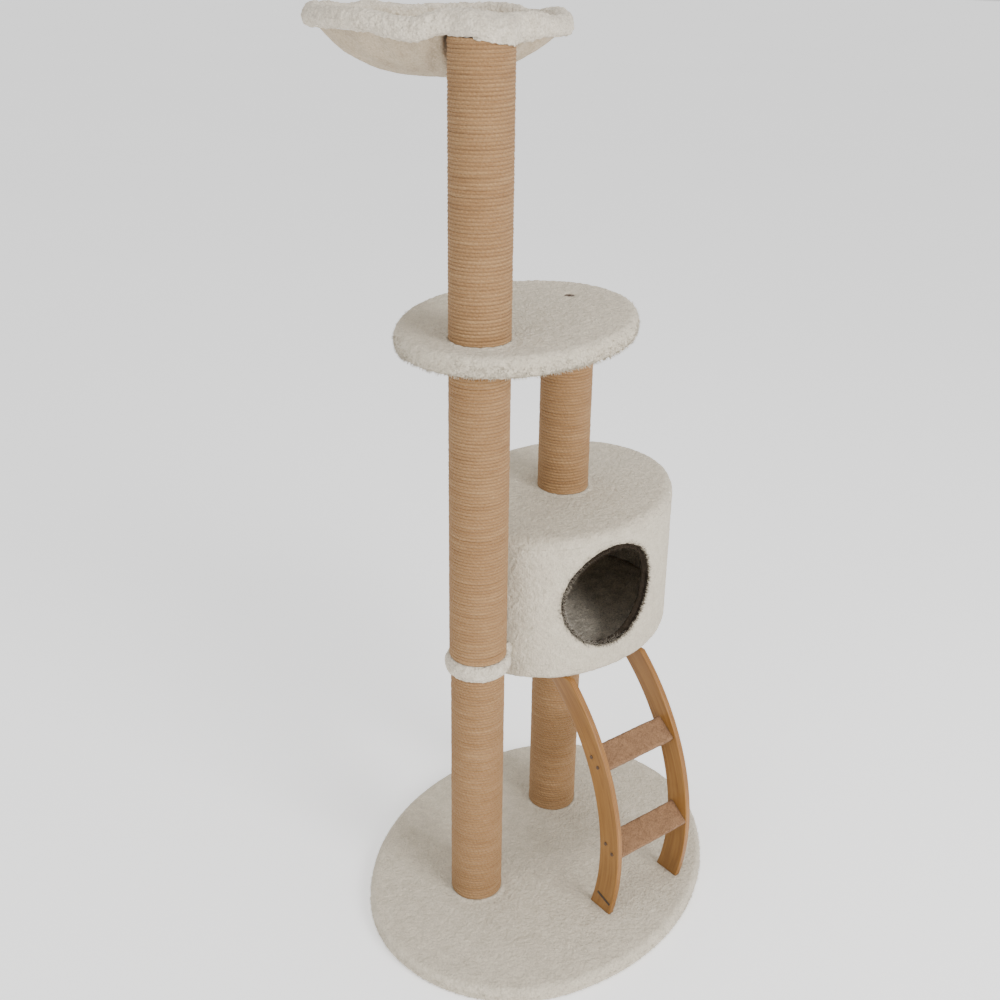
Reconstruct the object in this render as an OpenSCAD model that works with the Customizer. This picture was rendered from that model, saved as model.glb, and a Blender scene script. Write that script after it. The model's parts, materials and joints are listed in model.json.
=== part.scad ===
// Cat tree: oval base, two rope-wrapped posts, oval condo with a round entrance and a curved
// ladder, oval platform, and a hammock on the taller post. Millimetres. Origin: centre of the
// base's underside. +X runs from the front post to the rear post, the entrance faces -Y, +Z is up.

/* [Base] */
// Length of the oval base over its cover
base_l = 700; // [600:10:800]
// Width of the oval base over its cover
base_w = 560; // [480:10:640]
// Height of the base over its cover
base_h = 27; // [20:1:40]
// Thickness of the base board
base_board_h = 20; // [12:1:25]

/* [Posts] */
// Diameter of the middle and upper front posts over their rope
post_d = 92; // [80:1:110]
// Diameter of the lower front post and of both rear posts over their rope
slim_post_d = 87; // [84:1:110]
// Rope thickness on the thicker posts
rope_t = 6; // [4:0.5:10]
// Wall of the cardboard tube
tube_wall = 4; // [3:0.5:6]
// Thickness of the plug in each tube end
plug_h = 18; // [12:1:30]
// Front post position along X
front_x = -133; // [-160:1:-100]
// Rear post position along X
rear_x = 150; // [120:1:180]
// Both posts' position along Y
post_y = 54; // [0:1:80]
// Height of the top of the tall post
front_top_z = 1431; // [1300:1:1500]

/* [Condo] */
// Length of the condo over its plush
condo_l = 456; // [400:2:480]
// Width of the condo over its plush
condo_w = 362; // [320:2:400]
// Height of the condo's underside
condo_z0 = 432; // [350:1:450]
// Height of the condo's roof
condo_z1 = 685; // [600:1:750]
// Thickness of the floor board and of the roof board
condo_board_h = 15; // [9:1:18]
// Thickness of the bent wall shell
wall_t = 5; // [3:0.5:9]
// Thickness of the outer plush
plush_t = 6; // [4:0.5:10]
// Thickness of the inner lining
lining_t = 4; // [2:0.5:6]
// Radius of the entrance inside its trim
entrance_r = 87; // [70:1:100]
// Height of the entrance's centre
entrance_z = 568; // [500:1:600]
// Sideways position of the entrance, along the ladder's treads
entrance_x = -48; // [-80:1:20]
// Turn of the entrance and ladder about the rear post
entrance_turn = -22.3; // [-45:0.1:0]

/* [Link] */
// Height of the link's underside
link_z0 = 471; // [440:1:500]
// Height of the link over its cover
link_h = 28; // [20:1:35]
// Radius of the link around the front post
link_r = 53; // [50:0.5:60]
// Width of the link where it meets the condo
link_w = 60; // [50:2:90]

/* [Platform] */
// Length of the platform over its cover
plat_l = 450; // [400:2:500]
// Width of the platform over its cover
plat_w = 345; // [300:1:400]
// Height of the platform's underside
plat_z0 = 988; // [900:1:1050]
// Height of the platform over its cover
plat_h = 33; // [25:1:40]
// Platform centre along X
plat_x = 5; // [-20:1:30]
// Platform centre along Y
plat_y = 66; // [40:1:90]

/* [Hammock] */
// Radius of the wire ring
ring_r = 178; // [150:1:200]
// Wire thickness
wire_d = 6; // [4:0.5:8]
// Thickness of the rolled rim
rim_d = 30; // [20:1:40]
// Depth of the bowl below the ring
bowl_depth = 74; // [60:1:120]
// Thickness of the bowl fabric
bowl_t = 4; // [2:0.5:6]
// Distance from the front post to the ring's centre
ring_reach = 171; // [150:1:190]
// Direction of the ring's centre from the front post
ring_turn = 51.5; // [0:0.5:90]

/* [Ladder] */
// Outer radius of the bent rails
rail_r = 397; // [300:1:450]
// Width of a rail
rail_w = 45; // [35:1:50]
// Thickness of a rail
rail_t = 10; // [9:1:15]
// Length of a tread between the rails
tread_l = 149; // [120:1:180]
// Depth of a tread board
tread_w = 40; // [35:1:60]
// Thickness of a tread board
tread_t = 12; // [9:1:15]
// Carpet thickness on a tread
carpet_t = 2.5; // [1.5:0.5:4]
// Downward slope of the treads towards the outside
tread_slope = 36; // [0:1:60]

/* [Hidden] */
$fn = 96;
edge_step = 15;
eps = 0.01;

m8_r = 4;
m8_hole_r = 4.1;
washer_r = 12;
washer_t = 1.6;
hex_head_r = 7.5;
hex_head_h = 5.3;
cap_head_r = 8;
cap_head_h = 3.2;
socket_r = 2.9;
socket_h = 2;
recess_r = 13;
base_recess_h = 8;
bolt_l = 45;
long_bolt_l = 60;
short_bolt_l = 30;
stud_reach = 3;
screw_r = 2;
screw_head_h = 2;
screw_head_ratio = 1.5;
foot_screw_r = 2.5;

post_r = post_d / 2;
slim_r = slim_post_d / 2;
tube_r = post_r - rope_t;
bore_r = tube_r - tube_wall;
rope_bevel = 2;

plat_board_h = 19;
plat_plush_t = 7;
plat_z1 = plat_z0 + plat_h;
link_z1 = link_z0 + link_h;
link_board_h = 16;
link_plush_t = (link_h - link_board_h) / 2;
link_screw_gap = 28;
link_screw_l = 40;

floor_z0 = condo_z0 + lining_t;
floor_z1 = floor_z0 + condo_board_h;
roof_z1 = condo_z1 - plush_t;
roof_z0 = roof_z1 - condo_board_h;
ceiling_z = roof_z0 - lining_t;
shell_in = -plush_t;
inner_in = shell_in - wall_t;
cavity_in = inner_in - lining_t;
roof_skirt_h = 15;
trim_t = 3;
wall_depth = plush_t + wall_t + lining_t;

plate_t = 3;
plate_l = 66;
plate_w = 44;
ring_z = front_top_z + plate_t + wire_d / 2;
ring_gap = 7;
bowl_power = 2.6;
bowl_steps = 16;

arc_u = -77;
arc_z = base_h + 106;
ladder_x0 = -129;
ladder_x1 = ladder_x0 + rail_t + tread_l;
upper_tread = [252, base_h + 284];
lower_tread = [297, base_h + 135];
tread_screw_gap = 20;
tread_screw_l = 35;
foot_screw_u = 283;
foot_screw_reach = 28;
bracket_w = 20;
bracket_l = 24;
bracket_t = 2;
bracket_u = 146;
bracket_hole = 14;
bracket_drop = 12;
bracket_screw_l = 14;
rail_screw_l = 9;
strip_t = 0.6;

plush_c = [0.82, 0.79, 0.74];
lining_c = [0.62, 0.61, 0.58];
board_c = [0.72, 0.58, 0.42];
rope_c = [0.74, 0.6, 0.45];
card_c = [0.62, 0.52, 0.42];
rail_c = [0.74, 0.52, 0.27];
carpet_c = [0.58, 0.47, 0.38];
steel_c = [0.7, 0.7, 0.72];
plate_c = [0.28, 0.24, 0.2];

// ---- shared shapes ----

// Four-arc oval, long side on X; grow moves its outline outwards, or inwards when negative.
module oval(l, w, grow = 0) {
  a = l / 2;
  b = w / 2;
  r1 = 1.094 * b * b / a;
  r2 = (a * a + b * b - 2 * a * r1) / (2 * (b - r1));
  cx = a - r1;
  cy = r2 - b;
  tx = cx + (r1 + grow) * cx / (r2 - r1);
  for (s = [-1, 1])
    translate([s * cx, 0])
      circle(r = r1 + grow);
  intersection() {
    translate([0, -cy])
      circle(r = r2 + grow, $fn = 2 * $fn);
    translate([0, cy])
      circle(r = r2 + grow, $fn = 2 * $fn);
    square([2 * tx, 2 * (b + grow) + 2], center = true);
  }
}

module oval_plate(l, w, grow, z0, z1) {
  translate([0, 0, z0])
    linear_extrude(z1 - z0)
      oval(l, w, grow);
}

// Oval slab with edges rounded in fine steps: radius r0 below, r1 above.
module soft_slab(l, w, z0, z1, r0, r1) {
  for (a = [0 : edge_step : 90]) {
    bottom = z0 + r0 * (1 - sin(a));
    top = z1 - r1 * (1 - sin(a));
    oval_plate(l, w, max(r0, r1) * (cos(a) - 1), bottom, top);
  }
}

module tube(r_out, r_in, z0, z1) {
  translate([0, 0, z0])
    difference() {
      cylinder(r = r_out, h = z1 - z0);
      translate([0, 0, -1])
        cylinder(r = r_in, h = z1 - z0 + 2);
    }
}

module rod(r, z0, z1) {
  translate([0, 0, z0])
    cylinder(r = r, h = z1 - z0);
}

module at_front() { translate([front_x, post_y, 0]) children(); }
module at_rear() { translate([rear_x, post_y, 0]) children(); }
module at_posts() {
  at_front() children();
  at_rear() children();
}
module at_platform() { translate([plat_x, plat_y, 0]) children(); }
module at_entrance() { at_rear() rotate([0, 0, entrance_turn]) children(); }
module at_ring() {
  at_front()
    rotate([0, 0, ring_turn])
      translate([ring_reach, 0, 0])
        children();
}

// Rope sleeve with bevelled ends.
module rope(r, z0, z1) {
  rotate_extrude()
    polygon([
      [tube_r, z0], [r - rope_bevel, z0], [r, z0 + rope_bevel],
      [r, z1 - rope_bevel], [r - rope_bevel, z1], [tube_r, z1]
    ]);
}

// Two end plugs with a hole for the stud or bolt.
module plugs(z0, z1) {
  tube(bore_r, m8_hole_r, z0, z0 + plug_h);
  tube(bore_r, m8_hole_r, z1 - plug_h, z1);
}

module washer(z0) {
  tube(washer_r, m8_hole_r, z0, z0 + washer_t);
}

// Bolt with a low cap head, shank along +Z from z = 0, head below.
module cap_bolt(l) {
  rod(m8_r, -eps, l);
  difference() {
    rod(cap_head_r, -cap_head_h, 0);
    translate([0, 0, -cap_head_h - eps])
      cylinder(r = socket_r, h = socket_h, $fn = 6);
  }
}

// Screw along +Z from z = 0, pan head below.
module screw(r, l) {
  rod(r, -eps, l);
  rod(screw_head_ratio * r, -screw_head_h, 0);
}

// ---- base ----

module foot_screw_places() {
  at_entrance()
    for (x = [ladder_x0, ladder_x1])
      translate([x + rail_t / 2, -foot_screw_u, 0])
        children();
}

module base_board() {
  color(board_c)
    difference() {
      oval_plate(base_l, base_w, -plush_t, 0, base_board_h);
      at_posts() {
        rod(m8_hole_r, -1, base_board_h + 1);
        rod(recess_r, -1, base_recess_h);
      }
      foot_screw_places() {
        rod(foot_screw_r, -1, base_board_h + 1);
        rod(2 * foot_screw_r, -1, screw_head_h + 1);
      }
    }
}

module base_cover() {
  color(plush_c)
    difference() {
      soft_slab(base_l, base_w, 1, base_h, 0, 10);
      oval_plate(base_l, base_w, -plush_t, -1, base_board_h);
      at_posts()
        rod(m8_hole_r, 0, base_h + 1);
      foot_screw_places()
        rod(foot_screw_r, 0, base_h + 1);
    }
}

module base_bolts() {
  color(steel_c)
    at_posts()
      translate([0, 0, base_recess_h - washer_t]) {
        rod(m8_r, -eps, bolt_l);
        translate([0, 0, -hex_head_h])
          cylinder(r = hex_head_r, h = hex_head_h, $fn = 6);
      }
}

module base_washers() {
  color(steel_c)
    at_posts()
      washer(base_recess_h - washer_t);
}

// ---- posts ----

module front_lower_tube() { color(card_c) at_front() tube(tube_r, bore_r, base_h, link_z0); }
module front_lower_rope() { color(rope_c) at_front() rope(slim_r, base_h, link_z0); }
module front_lower_plugs() { color(board_c) at_front() plugs(base_h, link_z0); }
module front_middle_tube() { color(card_c) at_front() tube(tube_r, bore_r, link_z1, plat_z0); }
module front_middle_rope() { color(rope_c) at_front() rope(post_r, link_z1, plat_z0); }
module front_middle_plugs() { color(board_c) at_front() plugs(link_z1, plat_z0); }
module front_upper_tube() { color(card_c) at_front() tube(tube_r, bore_r, plat_z1, front_top_z); }
module front_upper_rope() { color(rope_c) at_front() rope(post_r, plat_z1, front_top_z); }
module front_upper_plugs() { color(board_c) at_front() plugs(plat_z1, front_top_z); }
module rear_lower_tube() { color(card_c) at_rear() tube(tube_r, bore_r, base_h, condo_z0); }
module rear_lower_rope() { color(rope_c) at_rear() rope(slim_r, base_h, condo_z0); }
module rear_lower_plugs() { color(board_c) at_rear() plugs(base_h, condo_z0); }
module rear_upper_tube() { color(card_c) at_rear() tube(tube_r, bore_r, condo_z1, plat_z0); }
module rear_upper_rope() { color(rope_c) at_rear() rope(slim_r, condo_z1, plat_z0); }
module rear_upper_plugs() { color(board_c) at_rear() plugs(condo_z1, plat_z0); }

// ---- link between the front post and the condo ----

// Round lobe about the front post, with a neck cut to the condo's wall.
module link_shape(grow, z0, z1) {
  difference() {
    translate([0, 0, z0])
      linear_extrude(z1 - z0)
        translate([front_x, post_y]) {
          circle(r = link_r + grow);
          translate([0, -link_w / 2 - grow])
            square([2 * link_r, link_w + 2 * grow]);
        }
    at_rear()
      oval_plate(condo_l, condo_w, 0, z0 - 1, z1 + 1);
  }
}

module link_screw_places() {
  for (s = [-1, 1])
    translate([rear_x - condo_l / 2, post_y + s * link_screw_gap / 2, link_z0 + link_h / 2])
      rotate([0, -90, 0])
        children();
}

module link_board() {
  color(board_c)
    difference() {
      link_shape(-link_plush_t, link_z0 + link_plush_t, link_z1 - link_plush_t);
      at_front()
        rod(m8_hole_r, link_z0, link_z1);
      link_screw_places()
        rod(screw_r, -wall_depth, link_screw_l - wall_depth);
    }
}

module link_cover() {
  color(plush_c)
    difference() {
      link_shape(0, link_z0, link_z1);
      link_shape(-link_plush_t, link_z0 + link_plush_t, link_z1 - link_plush_t);
      at_front()
        rod(m8_hole_r, link_z0 - 1, link_z1 + 1);
    }
}

module link_stud() {
  color(steel_c)
    at_front()
      rod(m8_r, link_z0 - plug_h - stud_reach, link_z1 + plug_h + stud_reach);
}

module link_screws() {
  color(steel_c)
    link_screw_places()
      translate([0, 0, -wall_depth - 1])
        screw(screw_r, link_screw_l);
}

// ---- condo ----

// Straight bore of the entrance, along the ladder's direction.
module entrance_bore(r) {
  at_entrance()
    translate([entrance_x, 0, entrance_z])
      rotate([90, 0, 0])
        cylinder(r = r, h = condo_l);
}

module bracket_screw_places() {
  at_entrance()
    for (x = [ladder_x0, ladder_x1])
      translate([x + rail_t + bracket_hole, -bracket_u - bracket_w / 2, condo_z0])
        children();
}

module condo_floor_board() {
  color(board_c)
    at_rear()
      difference() {
        oval_plate(condo_l, condo_w, inner_in, floor_z0, floor_z1);
        rod(m8_hole_r, floor_z0 - 1, floor_z1 + 1);
        translate([-rear_x, -post_y, 0])
          bracket_screw_places()
            rod(screw_r, -1, bracket_screw_l);
      }
}

module condo_floor_cover() {
  color(plush_c)
    at_rear()
      difference() {
        oval_plate(condo_l, condo_w, inner_in, condo_z0, floor_z0);
        rod(m8_hole_r, condo_z0 - 1, floor_z0 + 1);
        translate([-rear_x, -post_y, 0])
          bracket_screw_places()
            rod(screw_r, -1, bracket_screw_l);
      }
}

module condo_floor_lining() {
  color(lining_c)
    at_rear()
      difference() {
        oval_plate(condo_l, condo_w, inner_in, floor_z1, floor_z1 + lining_t);
        rod(recess_r, floor_z1 - 1, floor_z1 + lining_t + 1);
      }
}

// Oval ring between two offsets, with the entrance cut through it.
module wall_ring(out, in, z0, z1) {
  difference() {
    at_rear()
      difference() {
        oval_plate(condo_l, condo_w, out, z0, z1);
        oval_plate(condo_l, condo_w, in, z0 - 1, z1 + 1);
      }
    entrance_bore(entrance_r + trim_t);
    link_screw_places()
      rod(screw_r, -wall_depth - screw_head_h, link_screw_l);
  }
}

module condo_wall_shell() {
  color(board_c) wall_ring(shell_in, inner_in, condo_z0, roof_z1);
}

module condo_wall_cover() {
  color(plush_c) wall_ring(0, shell_in, condo_z0, condo_z1 - roof_skirt_h);
}

module condo_wall_lining() {
  color(lining_c) wall_ring(inner_in, cavity_in, floor_z1 + lining_t, ceiling_z);
}

// Binding around the entrance, as deep as the wall.
module condo_entry_trim() {
  color(lining_c)
    difference() {
      intersection() {
        entrance_bore(entrance_r + trim_t);
        at_rear()
          difference() {
            oval_plate(condo_l, condo_w, 0, condo_z0, condo_z1);
            oval_plate(condo_l, condo_w, cavity_in, condo_z0 - 1, condo_z1 + 1);
          }
      }
      entrance_bore(entrance_r);
    }
}

module condo_roof_board() {
  color(board_c)
    at_rear()
      difference() {
        oval_plate(condo_l, condo_w, inner_in, roof_z0, roof_z1);
        rod(m8_hole_r, roof_z0 - 1, roof_z1 + 1);
      }
}

module condo_roof_cover() {
  color(plush_c)
    at_rear()
      difference() {
        soft_slab(condo_l, condo_w, condo_z1 - roof_skirt_h, condo_z1, 0, roof_skirt_h);
        oval_plate(condo_l, condo_w, shell_in, condo_z1 - roof_skirt_h - 1, roof_z1);
        rod(m8_hole_r, roof_z1 - 1, condo_z1 + 1);
      }
}

module condo_roof_lining() {
  color(lining_c)
    at_rear()
      difference() {
        oval_plate(condo_l, condo_w, inner_in, ceiling_z, roof_z0);
        rod(recess_r, ceiling_z - 1, roof_z0 + 1);
      }
}

module condo_bolts() {
  color(steel_c)
    at_rear() {
      translate([0, 0, floor_z1 + washer_t])
        mirror([0, 0, 1])
          cap_bolt(bolt_l);
      translate([0, 0, roof_z0 - washer_t])
        cap_bolt(bolt_l);
    }
}

module condo_washers() {
  color(steel_c)
    at_rear() {
      washer(floor_z1);
      washer(roof_z0 - washer_t);
    }
}

// ---- platform ----

module platform_board() {
  color(board_c)
    difference() {
      at_platform()
        oval_plate(plat_l, plat_w, -plat_plush_t, plat_z0 + plat_plush_t,
                   plat_z0 + plat_plush_t + plat_board_h);
      at_posts()
        rod(m8_hole_r, plat_z0, plat_z1);
    }
}

module platform_cover() {
  color(plush_c)
    difference() {
      at_platform()
        soft_slab(plat_l, plat_w, plat_z0, plat_z1, 12, 12);
      at_platform()
        oval_plate(plat_l, plat_w, -plat_plush_t, plat_z0 + plat_plush_t,
                   plat_z0 + plat_plush_t + plat_board_h);
      at_posts()
        rod(m8_hole_r, plat_z0 - 1, plat_z1 + 1);
      at_rear()
        rod(recess_r, plat_z1 - plat_plush_t - eps, plat_z1 + 1);
    }
}

module platform_stud() {
  color(steel_c)
    at_front()
      rod(m8_r, plat_z0 - plug_h - stud_reach, plat_z1 + plug_h + stud_reach);
}

module platform_bolt() {
  color(steel_c)
    at_rear()
      translate([0, 0, plat_z1 - plat_plush_t + washer_t])
        mirror([0, 0, 1])
          cap_bolt(long_bolt_l);
}

module platform_washer() {
  color(steel_c) at_rear() washer(plat_z1 - plat_plush_t);
}

// ---- hammock ----

module torus(r, tube_radius, turn = 360) {
  rotate_extrude(angle = turn, $fn = 2 * $fn)
    translate([r, 0])
      circle(r = tube_radius, $fn = 48);
}

module hammock_ring() {
  color(steel_c)
    at_ring()
      translate([0, 0, ring_z])
        rotate([0, 0, 180 + ring_gap])
          torus(ring_r, wire_d / 2, 360 - 2 * ring_gap);
}

module hammock_bracket() {
  color(steel_c)
    at_front()
      rotate([0, 0, ring_turn])
        difference() {
          translate([-plate_w / 2 - 4, -plate_l / 2, front_top_z])
            cube([plate_w, plate_l, plate_t]);
          rod(m8_hole_r, front_top_z - 1, front_top_z + plate_t + 1);
        }
}

module post_clearance(grow, z1) {
  at_front()
    rod(post_r + grow, front_top_z - 2 * bowl_depth, z1);
}

function bowl_z(r, drop) = ring_z - drop * (1 - pow(r / ring_r, bowl_power));

// Solid of revolution under the bowl's surface, up to the ring's height.
module bowl_solid(drop, r_max) {
  at_ring()
    rotate_extrude($fn = 2 * $fn)
      polygon(concat(
        [[0, ring_z]],
        [for (i = [0 : bowl_steps]) [r_max * i / bowl_steps, bowl_z(r_max * i / bowl_steps, drop)]]
      ));
}

module hammock_bowl() {
  color(plush_c)
    difference() {
      bowl_solid(bowl_depth, ring_r);
      difference() {
        translate([0, 0, eps])
          bowl_solid(bowl_depth - bowl_t, ring_r);
        post_clearance(bowl_t, ring_z - wire_d / 2);
      }
      post_clearance(0.5, ring_z - bowl_t);
      at_ring()
        translate([0, 0, ring_z])
          torus(ring_r, rim_d / 2);
    }
}

module hammock_rim() {
  color(plush_c)
    difference() {
      at_ring()
        translate([0, 0, ring_z])
          difference() {
            torus(ring_r, rim_d / 2);
            torus(ring_r, wire_d / 2);
          }
      post_clearance(1.5, ring_z + wire_d / 2);
    }
}

module hammock_bolt() {
  color(steel_c)
    at_front()
      translate([0, 0, front_top_z + plate_t + washer_t])
        mirror([0, 0, 1])
          cap_bolt(short_bolt_l);
}

module hammock_washer() {
  color(steel_c) at_front() washer(front_top_z + plate_t);
}

// ---- ladder ----

// Turns a drawing in (outward, up) into a plate of thickness t whose left face is at x.
module ladder_plate(x, t) {
  at_entrance()
    translate([x + t, 0, 0])
      rotate([90, 0, -90])
        linear_extrude(t)
          children();
}

module rail_outline() {
  intersection() {
    translate([arc_u, arc_z])
      difference() {
        circle(r = rail_r, $fn = 4 * $fn);
        circle(r = rail_r - rail_w, $fn = 4 * $fn);
      }
    translate([0, base_h])
      square([rail_r, condo_z0 - base_h]);
  }
}

// Drawing placed at a tread's centre and slope.
module at_tread(t) {
  translate(t)
    rotate(-tread_slope)
      children();
}

module tread_screw_holes() {
  for (t = [upper_tread, lower_tread])
    at_tread(t)
      for (s = [-1, 1])
        translate([s * tread_screw_gap / 2, 0])
          circle(r = screw_r);
}

module rail(x) {
  difference() {
    ladder_plate(x, rail_t)
      difference() {
        rail_outline();
        tread_screw_holes();
      }
    foot_screw_places()
      rod(foot_screw_r, base_h - 1, base_h + foot_screw_reach + screw_head_h + 2);
  }
}

module ladder_rail_left() {
  color(rail_c)
    difference() {
      rail(ladder_x0);
      rail_screw_places()
        rod(screw_r, -1, rail_screw_l);
    }
}

module ladder_rail_right() {
  color(rail_c)
    difference() {
      rail(ladder_x1);
      rail_screw_places()
        rod(screw_r, -1, rail_screw_l);
    }
}

module tread_board(t) {
  ladder_plate(ladder_x0 + rail_t, tread_l)
    difference() {
      at_tread(t)
        square([tread_w, tread_t], center = true);
      tread_screw_holes();
    }
}

// Carpet sleeve around a tread board.
module tread_cover(t) {
  ladder_plate(ladder_x0 + rail_t, tread_l)
    at_tread(t)
      difference() {
        round_bar(tread_w + 2 * carpet_t, tread_t + 2 * carpet_t, carpet_t + 1);
        square([tread_w, tread_t], center = true);
      }
}

module round_bar(l, h, r) {
  square([l - 2 * r, h], center = true);
  square([l, h - 2 * r], center = true);
  for (x = [-1, 1], y = [-1, 1])
    translate([x * (l / 2 - r), y * (h / 2 - r)])
      circle(r = r, $fn = 24);
}

module tread_upper_board() { color(board_c) tread_board(upper_tread); }
module tread_lower_board() { color(board_c) tread_board(lower_tread); }
module tread_upper_cover() { color(carpet_c) tread_cover(upper_tread); }
module tread_lower_cover() { color(carpet_c) tread_cover(lower_tread); }

module tread_screws() {
  color(steel_c)
    at_entrance()
      for (t = [upper_tread, lower_tread], s = [-1, 1])
        translate([0, -t[0] - s * tread_screw_gap / 2 * cos(tread_slope),
                   t[1] - s * tread_screw_gap / 2 * sin(tread_slope)]) {
          translate([ladder_x0, 0, 0])
            rotate([0, 90, 0])
              screw(screw_r, tread_screw_l);
          translate([ladder_x1 + rail_t, 0, 0])
            rotate([0, -90, 0])
              screw(screw_r, tread_screw_l);
        }
}

module ladder_foot_screws() {
  color(steel_c)
    foot_screw_places()
      translate([0, 0, screw_head_h + 1])
        screw(foot_screw_r, base_h + foot_screw_reach);
}

// Angle bracket under the floor: one leg on the rail's right face, one on the floor's underside.
module head_bracket(x) {
  difference() {
    at_entrance()
      translate([x + rail_t, -bracket_u - bracket_w, 0]) {
        translate([0, 0, condo_z0 - bracket_t])
          cube([bracket_l, bracket_w, bracket_t]);
        translate([0, 0, condo_z0 - bracket_l])
          cube([bracket_t, bracket_w, bracket_l]);
      }
    bracket_screw_places()
      rod(screw_r, -2 * bracket_t, 1);
    rail_screw_places()
      rod(screw_r, -2 * bracket_t, 1);
  }
}

// Screws from a bracket's upright leg into its rail.
module rail_screw_places() {
  at_entrance()
    for (x = [ladder_x0, ladder_x1])
      translate([x + rail_t, -bracket_u - bracket_hole, condo_z0 - bracket_drop])
        rotate([0, -90, 0])
          children();
}

module ladder_head_brackets() {
  color(steel_c) {
    head_bracket(ladder_x0);
    head_bracket(ladder_x1);
  }
}

module ladder_head_screws() {
  color(steel_c) {
    bracket_screw_places()
      translate([0, 0, -bracket_t])
        screw(screw_r, bracket_screw_l);
    rail_screw_places()
      translate([0, 0, -bracket_t])
        screw(screw_r, rail_screw_l);
  }
}

// Plain strip near the foot of the left rail.
module rail_strip() {
  color(plate_c)
    ladder_plate(ladder_x0 - strip_t, strip_t)
      translate([291, base_h + 26])
        rotate(-17)
          round_bar(32, 5, 1.5);
}

base_board();
base_cover();
base_bolts();
base_washers();
front_lower_tube();
front_lower_rope();
front_lower_plugs();
front_middle_tube();
front_middle_rope();
front_middle_plugs();
front_upper_tube();
front_upper_rope();
front_upper_plugs();
rear_lower_tube();
rear_lower_rope();
rear_lower_plugs();
rear_upper_tube();
rear_upper_rope();
rear_upper_plugs();
link_board();
link_cover();
link_stud();
link_screws();
condo_floor_board();
condo_floor_cover();
condo_floor_lining();
condo_wall_shell();
condo_wall_cover();
condo_wall_lining();
condo_entry_trim();
condo_roof_board();
condo_roof_cover();
condo_roof_lining();
condo_bolts();
condo_washers();
platform_board();
platform_cover();
platform_stud();
platform_bolt();
platform_washer();
hammock_ring();
hammock_bracket();
hammock_bowl();
hammock_rim();
hammock_bolt();
hammock_washer();
ladder_rail_left();
ladder_rail_right();
tread_upper_board();
tread_lower_board();
tread_upper_cover();
tread_lower_cover();
tread_screws();
ladder_foot_screws();
ladder_head_brackets();
ladder_head_screws();
rail_strip();
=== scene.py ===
import json
import math
import bpy
import numpy as np
from mathutils import Matrix, Vector


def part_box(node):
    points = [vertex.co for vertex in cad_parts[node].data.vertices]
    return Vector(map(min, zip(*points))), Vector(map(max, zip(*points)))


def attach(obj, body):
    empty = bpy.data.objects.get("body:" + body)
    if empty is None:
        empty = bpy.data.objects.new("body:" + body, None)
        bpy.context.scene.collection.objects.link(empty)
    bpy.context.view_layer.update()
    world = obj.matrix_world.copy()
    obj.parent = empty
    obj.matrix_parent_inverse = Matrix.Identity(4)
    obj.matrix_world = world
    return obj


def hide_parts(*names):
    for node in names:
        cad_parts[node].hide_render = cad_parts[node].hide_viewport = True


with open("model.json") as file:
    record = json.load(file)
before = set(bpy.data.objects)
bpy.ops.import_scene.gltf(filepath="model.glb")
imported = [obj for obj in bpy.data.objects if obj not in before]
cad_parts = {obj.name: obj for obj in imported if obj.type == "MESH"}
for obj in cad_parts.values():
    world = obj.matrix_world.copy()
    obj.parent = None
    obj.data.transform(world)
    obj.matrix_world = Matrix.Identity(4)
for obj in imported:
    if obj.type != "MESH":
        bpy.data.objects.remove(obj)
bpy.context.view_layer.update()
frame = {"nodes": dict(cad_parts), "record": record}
MM = 0.001
TAU = 2 * math.pi


# ---------------------------------------------------------------- places from the CAD
def lohi(node):
    lo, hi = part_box(node)
    return np.array(lo), np.array(hi)


def mid(node):
    lo, hi = lohi(node)
    return (lo + hi) / 2


FRONT = mid("front_lower_tube")[:2]
REAR = mid("rear_lower_tube")[:2]
BASE_LO, BASE_HI = lohi("base_cover")
BASE_TOP = BASE_HI[2]
POST_R = (lohi("front_upper_rope")[1] - lohi("front_upper_rope")[0])[0] / 2
SLIM_R = (lohi("front_lower_rope")[1] - lohi("front_lower_rope")[0])[0] / 2
WALL_LO, WALL_HI = lohi("condo_wall_cover")
ROOF_HI = lohi("condo_roof_cover")[1]
PLAT_LO, PLAT_HI = lohi("platform_cover")
LINK_LO, LINK_HI = lohi("link_cover")
RING_LO, RING_HI = lohi("hammock_rim")
RING_C = (RING_LO + RING_HI) / 2
WIRE_R = (lohi("hammock_ring")[1] - lohi("hammock_ring")[0])[0] / 2 - 3 * MM
POST_TOP = lohi("front_upper_rope")[1][2]
TURN = math.radians(-22.3)
E_T = np.array([math.cos(TURN), math.sin(TURN)])
E_Y = np.array([-math.sin(TURN), math.cos(TURN)])


# ---------------------------------------------------------------- noise and meshes
def _hash(ix, iy, iz, seed):
    h = (ix * 73856093) ^ (iy * 19349663) ^ (iz * 83492791) ^ (seed * 2654435761)
    h = (h ^ (h >> 13)) * 1274126177
    h = h & 0xFFFFFFFF
    h = (h ^ (h >> 16)) * 2246822519
    return ((h & 0xFFFFFFFF) / 2147483648.0) - 1.0


def noise3(p, size, seed=0):
    q = np.asarray(p, float) / size + 1000.37
    i = np.floor(q).astype(np.int64)
    f = q - i
    u = f * f * f * (f * (f * 6 - 15) + 10)
    out = 0.0
    for dx in (0, 1):
        for dy in (0, 1):
            for dz in (0, 1):
                w = ((u[..., 0] if dx else 1 - u[..., 0]) * (u[..., 1] if dy else 1 - u[..., 1])
                     * (u[..., 2] if dz else 1 - u[..., 2]))
                out = out + w * _hash(i[..., 0] + dx, i[..., 1] + dy, i[..., 2] + dz, seed)
    return out


def fbm(p, size, octaves=3, seed=0, fall=0.5):
    out, amp = 0.0, 1.0
    for k in range(octaves):
        out = out + amp * noise3(p, size / 2 ** k, seed + 11 * k)
        amp *= fall
    return out


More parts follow.
